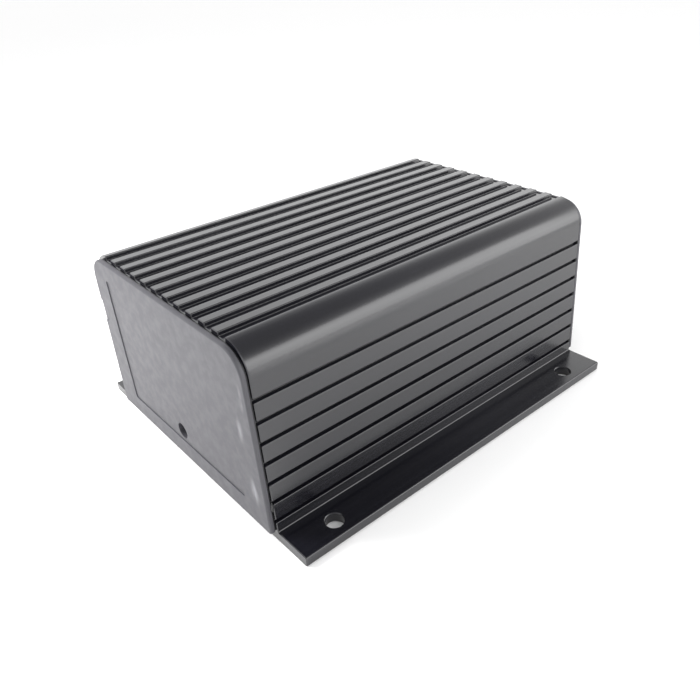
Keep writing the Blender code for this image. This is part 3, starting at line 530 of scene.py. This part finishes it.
BY_SLOT = {
    "anodised_aluminium": ANODISED, "cap_plastic": CAP, "sealant": SEALANT, "zinc_steel": ZINC,
    "tinned_copper": TIN, "brass_tab": TAB, "led_lens": LENS, "circuit_board": BOARD,
    "header_plastic": HEADER, "transistor_epoxy": EPOXY, "thermal_pad": PAD,
    "plain_aluminium": PLAIN, "capacitor_sleeve": SLEEVE, "shunt_metal": ALLOY,
    "trimmer_plastic": TRIMMER, "rotor_plastic": ROTOR,
}
SLOT_OF = {entry["node"]: entry["material_slot"] for entry in frame["record"]["subparts"]}


def repaint():
    """Every CAD node gets the procedural material of its slot."""
    for node, item in frame["nodes"].items():
        item.data.materials.clear()
        item.data.materials.append(BY_SLOT[SLOT_OF[node]])


# ---------------------------------------------------------------- housing

def side_y(z):
    """The leaning side's distance from the middle at a height."""
    return BODY - SIDE_LEAN * (z - FLANGE_TOP)


def side_groove(z):
    """The corners of one groove in the leaning side, upwards."""
    floor = side_y(z) - SIDE_GROOVE_DEPTH
    low, high = z - SIDE_GROOVE_HALF, z + SIDE_GROOVE_HALF
    return [(side_y(low), low, SIDE_GROOVE_EASE), (floor, low, SIDE_GROOVE_FILLET),
            (floor, high, SIDE_GROOVE_FILLET), (side_y(high), high, SIDE_GROOVE_EASE)]


def fin_groove(y):
    """The corners of one groove between fins, towards the middle."""
    half, floor = GROOVE_HALF - GROOVE_DRAFT, TOP - FIN_HEIGHT
    return [(y + GROOVE_HALF, TOP, FIN_EASE), (y + half, floor, FIN_EASE),
            (y - half, floor, FIN_EASE), (y - GROOVE_HALF, TOP, FIN_EASE)]


def housing_outline():
    """The outside of the extrusion, anticlockwise from the middle of its underside."""
    corners = [(0.0, 0.0, 0.0), (FLANGE, 0.0, FLANGE_EASE), (FLANGE, FLANGE_TOP, FLANGE_EASE),
               (BODY, FLANGE_TOP, FLANGE_FILLET)]
    for index in range(SIDE_GROOVES):
        corners += side_groove(SIDE_GROOVE_Z + index * SIDE_GROOVE_PITCH)
    centre_z = TOP - CORNER
    centre_y = side_y(centre_z) - CORNER
    top_arc = arc(centre_y, centre_z, CORNER, math.degrees(SIDE_LEAN), CORNER_ARC_END, 30)
    corners += [(u, v, 0.0) for u, v in top_arc]
    for index in range(FIN_GROOVES_EACH_SIDE, 0, -1):
        corners += fin_groove(index * FIN_PITCH)
    corners += fin_groove(0.0)[:2] + [(0.0, TOP - FIN_HEIGHT, 0.0)]
    return rounded(corners + [(-u, v, radius) for u, v, radius in reversed(corners) if u > ON_AXIS])


def tunnel_outline():
    return mirrored([(0.0, TUNNEL_FLOOR), (TUNNEL_NARROW, TUNNEL_FLOOR), (TUNNEL_NARROW, SLOT_FLOOR),
                     (SLOT_HALF, SLOT_FLOOR), (SLOT_HALF, WIDE_LOW), (TUNNEL_HALF, WIDE_LOW),
                     (TUNNEL_HALF, WIDE_HIGH), (TUNNEL_NARROW, WIDE_HIGH), (TUNNEL_NARROW, TUNNEL_ROOF),
                     (0.0, TUNNEL_ROOF)])


def screw_places():
    """Where the cover screws are, as (y, z)."""
    return [(side * SCREW_Y, z) for z in SCREW_HEIGHTS for side in (-1, 1)]


def mounting_drill(x, y):
    """A hole cutter with a small chamfer at both faces of the flange."""
    wide = MOUNT_R + MOUNT_EASE
    profile = [(wide + MM, -MM), (wide, 0.0), (MOUNT_R, MOUNT_EASE),
               (MOUNT_R, FLANGE_TOP - MOUNT_EASE), (wide, FLANGE_TOP), (wide + MM, FLANGE_TOP + MM)]
    return turned(profile, 56, "Z", (x, y))


def make_housing():
    """The extrusion with its tunnel, screw channels and mounting holes."""
    bm = bmesh.new()
    outline = housing_outline()
    small = inset(outline, END_CHAMFER * 0.8)
    stations = [(small, -HALF_LENGTH), (outline, -HALF_LENGTH + END_CHAMFER),
                (outline, HALF_LENGTH - END_CHAMFER), (small, HALF_LENGTH)]
    stacks = [[add_ring(bm, points, x) for points, x in stations]]
    skin(bm, stacks[0])
    openings = [tunnel_outline()] + [circle(y, z, SCREW_CHANNEL, 24) for y, z in screw_places()]
    for opening in openings:
        wall = [add_ring(bm, opening, x) for x in (-HALF_LENGTH, HALF_LENGTH)]
        skin(bm, wall)
        stacks.append(wall)
    close_ends(bm, *stacks)
    shell = finish_mesh("housing_extrusion", bm, ANODISED, replaces=("housing",))
    carve(shell, [mounting_drill(x, y) for x in (-MOUNT_X, MOUNT_X) for y in (-MOUNT_Y, MOUNT_Y)])
    resharpen(shell)
    weighted(shell)


# ---------------------------------------------------------------- end pieces

def rim_y(z):
    """The rim edge's distance from the middle at a height."""
    return side_y(z) - RIM_SETBACK


def rim_outline(shrink=0.0):
    """The rim's outline, drawn in by shrink."""
    low_radius = max(RIM_LOW_RADIUS - shrink, 0.2 * MM)
    top_radius = RIM_TOP_RADIUS - shrink
    low_z = RIM_LOW + shrink + low_radius
    high_z = RIM_TOP - shrink - top_radius
    half = [(0.0, RIM_LOW + shrink)]
    half += arc(rim_y(low_z) - shrink - low_radius, low_z, low_radius, -90.0, 0.0, 6)
    half += arc(rim_y(high_z) - shrink - top_radius, high_z, top_radius, math.degrees(SIDE_LEAN), 90.0, 28)
    half.append((0.0, RIM_TOP - shrink))
    return mirrored(half)


def plug_outline(shrink):
    """The tunnel's outline without its board slot, drawn in by shrink."""
    floor, wide_low = TUNNEL_FLOOR + shrink, WIDE_LOW + shrink
    roof, wide_high = TUNNEL_ROOF - shrink, WIDE_HIGH - shrink
    narrow, wide = TUNNEL_NARROW - shrink, TUNNEL_HALF - shrink
    return mirrored([(0.0, floor), (narrow, floor), (narrow, wide_low), (wide, wide_low),
                     (wide, wide_high), (narrow, wide_high), (narrow, roof), (0.0, roof)])


def rim_and_plug(name, side, node):
    """The eased rim of an end piece with its hollow plug, on the -X or +X end."""
    bm = bmesh.new()
    stations = []
    for step in range(7):
        turn = math.radians(90.0 * (1.0 - step / 6.0))
        stations.append((RIM_EDGE * (1.0 - math.cos(turn)), FACE - RIM_EDGE * (1.0 - math.sin(turn))))
    stations.append((0.0, RIM_BACK + RIM_BACK_EASE))
    stations.append((RIM_BACK_EASE, RIM_BACK))
    rings = [add_ring(bm, rim_outline(shrink), side * x) for shrink, x in stations]
    skin(bm, rings)
    close_ends(bm, rings)
    piece = finish_mesh(name, bm, CAP, replaces=(node,))
    plug_end = HALF_LENGTH - PLUG_LENGTH
    carve(piece, [prism(plug_outline(PLUG_GAP), side * (RIM_BACK + PLUG_ROOT), side * plug_end)], "UNION")
    carve(piece, [prism(plug_outline(HOLLOW_INSET), side * (RIM_BACK - HOLLOW_ROOT), side * (plug_end - MM))])
    return piece


def stepped(outline_at, stations):
    """A cutter along X through outlines that grow or shrink at each station."""
    bm = bmesh.new()
    rings = [add_ring(bm, outline_at(grow), x) for grow, x in stations]
    skin(bm, rings)
    close_ends(bm, rings)
    return bm


def label_outline(grow):
    half, low, high = LABEL_HALF + grow, LABEL_LOW - grow, LABEL_HIGH + grow
    return rounded([(-half, low, LABEL_CORNER), (half, low, LABEL_CORNER),
                    (half, high, LABEL_CORNER), (-half, high, LABEL_CORNER)])


def notch_outline(grow):
    """A half circle that opens past the far edge of the rim."""
    edge, radius = rim_y(NOTCH_Z), NOTCH_R + grow
    half = [(edge - radius * u, NOTCH_Z + radius * v) for u, v in arc(0.0, 0.0, 1.0, -90.0, 90.0, 20)]
    return half + [(edge + MM, half[-1][1]), (edge + MM, half[0][1])]


def make_end_cap():
    """The plain cap with its label recess, access hole and notch, all with eased edges."""
    cap = rim_and_plug("end_cap_moulding", -1, "end_cap")
    floor = -FACE + LABEL_DEPTH
    recess = stepped(label_outline, [(LABEL_EASE + MM, -FACE - MM), (LABEL_EASE, -FACE),
                                     (0.0, -FACE + LABEL_EASE), (-LABEL_DRAFT, floor)])
    wide = HOLE_R + HOLE_EASE
    hole = turned([(wide, floor - 1.2 * MM), (wide, floor), (HOLE_R, floor + HOLE_EASE),
                   (HOLE_R, -FACE + HOLE_DEPTH)], 40, "X", (HOLE_Y, HOLE_Z))
    notch = stepped(notch_outline, [(0.9 * MM, -FACE - MM), (NOTCH_EASE, -FACE), (0.0, -FACE + NOTCH_EASE),
                                    (-0.15 * MM, -FACE + 0.4 * MM), (-0.35 * MM, -FACE + NOTCH_DEPTH)])
    carve(cap, [recess, hole, notch])
    resharpen(cap, MOULDED_ANGLE)
    weighted(cap)


def make_sealant():
    """A recessed bead round the cap, and the smear that squeezed out on the near side."""
    bead = prism(inset(rim_outline(), BEAD_INSET), -HALF_LENGTH - BEAD_START, -HALF_LENGTH - BEAD_END,
                 holes=[tunnel_outline()])
    finish_mesh("sealant_bead", bead, SEALANT, replaces=("cap_sealant",))
    smear = bmesh.new()
    bmesh.ops.create_uvsphere(smear, u_segments=28, v_segments=18, radius=1.0)
    centre = Vector((-HALF_LENGTH - 0.3 * MM, -side_y(SMEAR_Z) + 0.35 * MM, SMEAR_Z))
    for vert in smear.verts:
        x, y, z = vert.co
        wave = 1.0 + 0.16 * math.sin(z * 5.0 + x * 3.0) + 0.1 * math.cos(x * 6.0)
        vert.co = centre + Vector((x * SMEAR_SIZE.x * wave, y * SMEAR_SIZE.y * wave, z * SMEAR_SIZE.z))
    finish_mesh("sealant_smear", smear, SEALANT, angle=180.0)


# ---------------------------------------------------------------- terminal end

def slot_outline(low, high, grow):
    """A rounded rectangle between two (y, z) corners, grown all round."""
    left, bottom, right, top = low[0] - grow, low[1] - grow, high[0] + grow, high[1] + grow
    return rounded([(left, bottom, SLOT_CORNER), (right, bottom, SLOT_CORNER),
                    (right, top, SLOT_CORNER), (left, top, SLOT_CORNER)])


def make_terminal_cover():
    """The cover with walls between the bars, and openings for bars, tabs, light and screws."""
    cover = rim_and_plug("terminal_cover_moulding", 1, "terminal_cover")
    tip = FACE + WALL_REACH
    wall = rounded([(RIM_BACK, WALL_LOW, 0.0), (tip, WALL_LOW, WALL_CORNER),
                    (tip, WALL_HIGH, WALL_CORNER), (RIM_BACK, WALL_HIGH, 0.0)])
    carve(cover, [prism(wall, y - WALL_HALF, y + WALL_HALF, "Y", chamfer=0.25 * MM)
                  for y in (-WALL_Y, WALL_Y)], "UNION")
    inside, outside = HALF_LENGTH - 7.0 * MM, FACE + MM

    def slot_cutter(low, high):
        return stepped(lambda grow: slot_outline(low, high, grow),
                       [(0.0, inside), (0.0, FACE - SLOT_EASE), (SLOT_EASE, FACE), (SLOT_EASE + MM, outside)])

    cutters = []
    for number in (1, 2, 3):
        low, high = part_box(f"bus_bar_{number}")
        cutters.append(slot_cutter((low.y - SLOT_GAP, high.z - BAR_SLOT_DROP),
                                   (high.y + SLOT_GAP, high.z + SLOT_GAP)))
    for number in range(1, 6):
        low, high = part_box(f"control_tab_{number}")
        cutters.append(slot_cutter((low.y - SLOT_GAP, low.z - SLOT_GAP),
                                   (high.y + SLOT_GAP, high.z + SLOT_GAP)))
    carve(cover, cutters)
    holes = [(box_middle(*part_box("status_light")), LIGHT_HOLE)]
    holes += [(centre, SCREW_HOLE) for centre in screw_places()]
    drills = []
    for centre, radius in holes:
        wide = radius + HOLE_CHAMFER
        profile = [(radius, inside), (radius, FACE - HOLE_CHAMFER), (wide, FACE), (wide + MM, outside)]
        drills.append(turned(profile, 36, "X", centre))
    carve(cover, drills)
    resharpen(cover, MOULDED_ANGLE)
    weighted(cover)


def eased_copy(node, name, width, segments=3):
    """A CAD node's shape with eased edges, which stands for the node."""
    source = frame["nodes"][node]
    bm = bmesh.new()
    bm.from_mesh(source.data)
    bmesh.ops.remove_doubles(bm, verts=bm.verts, dist=1e-7)
    bmesh.ops.dissolve_limit(bm, angle_limit=math.radians(1.0), verts=bm.verts, edges=bm.edges)
    piece = finish_mesh(name, bm, BY_SLOT[SLOT_OF[node]], replaces=(node,))
    modifier = piece.modifiers.new("eased edges", "BEVEL")
    modifier.width = width
    modifier.segments = segments
    modifier.limit_method = "ANGLE"
    modifier.angle_limit = math.radians(30.0)
    weighted(piece)


def hexagon_with_chamfer(low, high, centre, bore=0.0):
    """A hexagon whose corners are turned down to a cone at both ends, with an optional bore."""
    bm = bmesh.new()
    sides = 48
    apothem = HEX_FLATS / 2
    corner = HEX_FLATS / math.sqrt(3.0)
    drop = 0.5 * MM

    def outline(limit):
        points = []
        for index in range(sides):
            turn = 2 * math.pi * index / sides
            local = (turn % (math.pi / 3)) - math.pi / 6
            radius = min(apothem / math.cos(local), limit)
            points.append((centre[0] + radius * math.cos(turn), centre[1] + radius * math.sin(turn)))
        return points

    stations = [(apothem * 0.97, low), (apothem * 1.06, low + drop * 0.45), (corner, low + drop),
                (corner, high - drop), (apothem * 1.06, high - drop * 0.45), (apothem * 0.97, high)]
    stacks = [[add_ring(bm, outline(limit), z, "Z") for limit, z in stations]]
    skin(bm, stacks[0])
    if bore:
        ease = 0.35 * MM
        profile = ((bore + ease, low), (bore, low + ease), (bore, high - ease), (bore + ease, high))
        stacks.append([add_ring(bm, circle(*centre, radius, sides), z, "Z") for radius, z in profile])
        skin(bm, stacks[1])
    close_ends(bm, *stacks)
    return bm


def threaded(bm, centre, low, high):
    """A rod with a helical thread and a coned tip, added to bm."""
    sides, rows_per_turn = 36, 8
    count = int((high - low) / THREAD_PITCH * rows_per_turn)
    rows = []
    for row in range(count + 1):
        z = low + (high - low) * row / count
        runout = min(1.0, max(0.0, (z - low) / THREAD_PITCH - 0.5))
        tip = min(1.0, (high - z) / (0.9 * MM))
        ring = []
        for index in range(sides):
            turn = 2 * math.pi * index / sides
            phase = (z / THREAD_PITCH - turn / (2 * math.pi)) % 1.0
            cut = THREAD_DEPTH * (1.0 - abs(2.0 * phase - 1.0))
            radius = (THREAD_R - cut * runout) * (0.84 + 0.16 * tip)
            ring.append(bm.verts.new((centre[0] + radius * math.cos(turn),
                                      centre[1] + radius * math.sin(turn), z)))
        rows.append(ring)
    skin(bm, rows)
    close_ends(bm, rows)


def washer(low, high, centre):
    """A flat ring with eased edges, between two heights."""
    bm = bmesh.new()
    stacks = []
    for radius, eased in ((WASHER_R, WASHER_R - WASHER_EASE), (WASHER_BORE, WASHER_BORE + WASHER_EASE)):
        profile = ((eased, low), (radius, low + WASHER_EASE), (radius, high - WASHER_EASE), (eased, high))
        rings = [add_ring(bm, circle(*centre, r, 56), z, "Z") for r, z in profile]
        skin(bm, rings)
        stacks.append(rings)
    close_ends(bm, *stacks)
    return bm


def make_terminals():
    """Each bar with its bolt, washer and nut, then the push-on tabs."""
    for number in (1, 2, 3):
        eased_copy(f"bus_bar_{number}", f"terminal_bar_{number}", 0.45 * MM)
        low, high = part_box(f"terminal_bolt_{number}")
        centre = ((low.x + high.x) / 2, (low.y + high.y) / 2)
        bm = hexagon_with_chamfer(low.z, low.z + BOLT_HEAD, centre)
        threaded(bm, centre, low.z + THREAD_START, high.z)
        finish_mesh(f"bolt_{number}", bm, ZINC, replaces=(f"terminal_bolt_{number}",),
                    angle=40.0)
        low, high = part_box(f"terminal_washer_{number}")
        finish_mesh(f"washer_{number}", washer(low.z, high.z, centre), ZINC,
                    replaces=(f"terminal_washer_{number}",))
        low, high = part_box(f"terminal_nut_{number}")
        finish_mesh(f"nut_{number}", hexagon_with_chamfer(low.z, high.z, centre, bore=NUT_BORE), ZINC,
                    replaces=(f"terminal_nut_{number}",), angle=25.0)
    for number in range(1, 6):
        eased_copy(f"control_tab_{number}", f"push_on_tab_{number}", 0.15 * MM, segments=2)


def make_cover_screws():
    """Domed heads with a hexagon socket."""
    for number in range(1, 5):
        low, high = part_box(f"cover_screw_{number}")
        y, z = box_middle(low, high)
        seat = high.x - HEAD_HEIGHT
        dome = seat + DOME_START
        profile = [(0.7 * MM, low.x), (SHANK_R, low.x + MM), (SHANK_R, seat), (HEAD_R - 0.2 * MM, seat),
                   (HEAD_R, seat + 0.2 * MM), (HEAD_R, dome)]
        for step in range(1, 7):
            turn = math.radians(DOME_SWEEP * step / 6)
            rise = DOME_HEIGHT * math.sin(turn) / math.sin(math.radians(DOME_SWEEP))
            profile.append((HEAD_R * math.cos(turn) * 0.98, dome + rise))
        head = finish_mesh(f"cover_screw_head_{number}", turned(profile, 40, "X", (y, z)), ZINC,
                           replaces=(f"cover_screw_{number}",))
        carve(head, [prism(circle(y, z, SOCKET_R, 6), high.x - SOCKET_DEPTH, high.x + MM)])
        resharpen(head, MOULDED_ANGLE)


def make_status_light():
    """A domed lens on a collar."""
    low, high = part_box("status_light")
    bottom, top = FACE + COLLAR_LOW, FACE + COLLAR_HIGH
    eased = COLLAR_R - COLLAR_EASE
    profile = [(LENS_R, low.x), (LENS_R, bottom), (eased, bottom), (COLLAR_R, bottom + COLLAR_EASE),
               (COLLAR_R, top - COLLAR_EASE), (eased, top), (LENS_R, top)]
    for step in range(1, 10):
        turn = math.radians(LENS_SWEEP * step / 9)
        profile.append((LENS_R * math.cos(turn), top + LENS_HEIGHT * math.sin(turn)))
    finish_mesh("status_lens", turned(profile, 48, "X", box_middle(low, high)), LENS,
                replaces=("status_light",))


def make_trimmer():
    """The slotted rotor behind the access hole, eased at its rim, and the case that holds it."""
    low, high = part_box("trimmer_rotor")
    y, z = box_middle(low, high)
    eased = ROTOR_R - ROTOR_EASE
    profile = [(eased, low.x), (ROTOR_R, low.x + ROTOR_EASE), (ROTOR_R, high.x - ROTOR_EASE), (eased, high.x)]
    rotor = finish_mesh("rotor_disc", turned(profile, 48, "X", (y, z)), ROTOR, body="rotor",
                        replaces=("trimmer_rotor",))
    left, right = y - ROTOR_SLOT_REACH, y + ROTOR_SLOT_REACH
    bottom, top = z - ROTOR_SLOT_HALF, z + ROTOR_SLOT_HALF
    slot = [(left, bottom), (right, bottom), (right, top), (left, top)]
    carve(rotor, [prism(slot, low.x - MM, low.x + MM)])
    resharpen(rotor)
    eased_copy("trimmer_body", "trimmer_case", 0.3 * MM)


# ---------------------------------------------------------------- studio

CAMERA = Vector((-167.26, -207.71, 178.50)) * MM
RIGHT = Vector((0.74909, -0.66112, -0.04236))
UP = Vector((0.38067, 0.37723, 0.84427))
AHEAD = Vector((0.54218, 0.64855, -0.53425))
LENS_LENGTH, SENSOR_WIDTH = 35.318, 36.0
SHIFT_X, SHIFT_Y = -0.02351, 0.01545
NEAR_CLIP, FAR_CLIP = 0.01, 50.0

FLOOR_HALF = 12.0
FLOOR_DROP = 0.15 * MM

# What reflections see, as (height, brightness): 0 is the horizon and all below it, and 1 is straight up.
REFLECTED_ROOM = ((0.0, 0.5), (0.25, 0.7), (0.42, 0.78), (0.53, 0.44), (0.66, 0.24), (0.79, 0.15),
                  (1.0, 0.12))
REFLECTED_STRENGTH = 2.8


def make_camera():
    data = bpy.data.cameras.new("camera")
    data.lens, data.sensor_width = LENS_LENGTH, SENSOR_WIDTH
    data.shift_x, data.shift_y = SHIFT_X, SHIFT_Y
    data.clip_start, data.clip_end = NEAR_CLIP, FAR_CLIP
    camera = bpy.data.objects.new("camera", data)
    bpy.context.scene.collection.objects.link(camera)
    turn = Matrix((RIGHT, UP, -AHEAD)).transposed().to_4x4()
    camera.matrix_world = Matrix.Translation(CAMERA) @ turn
    bpy.context.scene.camera = camera


def make_floor():
    """A pale floor just below the part, so that the two don't touch."""
    bm = bmesh.new()
    bmesh.ops.create_grid(bm, x_segments=1, y_segments=1, size=FLOOR_HALF)
    pale = new_material("pale floor", (0.98, 0.98, 0.98), 0.85, Specular_IOR_Level=0.1)
    floor = finish_mesh("floor", bm, pale, body=None, smooth=False)
    floor.location.z = -FLOOR_DROP


def area(name, position, target, size, power, colour=(1.0, 1.0, 1.0), size_y=None):
    """An area lamp that looks at its target and that the camera doesn't see."""
    data = bpy.data.lights.new(name, "AREA")
    data.energy = power
    data.color = colour
    data.size = size
    if size_y:
        data.shape = "RECTANGLE"
        data.size_y = size_y
    lamp = bpy.data.objects.new(name, data)
    bpy.context.scene.collection.objects.link(lamp)
    lamp.location = position
    lamp.rotation_mode = "QUATERNION"
    lamp.rotation_quaternion = (Vector(target) - Vector(position)).to_track_quat("-Z", "Y")
    lamp.visible_camera = False
    return lamp


def make_world():
    """Even white light for surfaces; reflections see a room with a bright band low above the horizon."""
    world = bpy.data.worlds.new("studio")
    bpy.context.scene.world = world
    world.use_nodes = True
    tree = world.node_tree
    even = tree.nodes["Background"]
    even.inputs["Color"].default_value = (1.0, 1.0, 1.0, 1.0)
    even.inputs["Strength"].default_value = 1.0
    place = tree.nodes.new("ShaderNodeTexCoord")
    split = tree.nodes.new("ShaderNodeSeparateXYZ")
    tree.links.new(place.outputs["Generated"], split.inputs[0])
    ramp = tree.nodes.new("ShaderNodeValToRGB")
    tree.links.new(split.outputs["Z"], ramp.inputs["Fac"])
    elements = ramp.color_ramp.elements
    for index, (position, level) in enumerate(REFLECTED_ROOM):
        element = elements[index] if index < 2 else elements.new(position)
        element.position = position
        element.color = (level, level, level, 1.0)
    seen = tree.nodes.new("ShaderNodeBackground")
    tree.links.new(ramp.outputs["Color"], seen.inputs["Color"])
    seen.inputs["Strength"].default_value = REFLECTED_STRENGTH
    rays = tree.nodes.new("ShaderNodeLightPath")
    choose = tree.nodes.new("ShaderNodeMixShader")
    tree.links.new(rays.outputs["Is Glossy Ray"], choose.inputs[0])
    tree.links.new(even.outputs[0], choose.inputs[1])
    tree.links.new(seen.outputs[0], choose.inputs[2])
    tree.links.new(choose.outputs[0], tree.nodes["World Output"].inputs["Surface"])


def make_lights():
    """Three lamps light the surfaces, and one shows only in the near side's reflections."""
    area("key", position=(-0.24, 0.16, 0.20), target=(-0.09, 0.03, 0.06), size=0.11, power=0.75,
         colour=(1.0, 0.99, 0.98)).visible_glossy = False
    area("low side", position=(0.34, -0.52, 0.22), target=(0.0, -0.05, 0.06), size=0.55, power=1.5,
         size_y=0.40).visible_diffuse = False
    area("floor wash", position=(0.18, -0.46, 0.26), target=(0.18, -0.46, 0.0), size=0.3,
         power=1.8).visible_glossy = False
    area("upper left", position=(-0.38, 0.32, 0.55), target=(0.0, 0.0, 0.02), size=0.22,
         power=2.6).visible_glossy = False
    bpy.context.scene.view_settings.view_transform = "Standard"


repaint()
make_camera()
make_floor()
make_world()
make_lights()
make_housing()
make_end_cap()
make_sealant()
make_terminal_cover()
make_terminals()
make_cover_screws()
make_status_light()
make_trimmer()
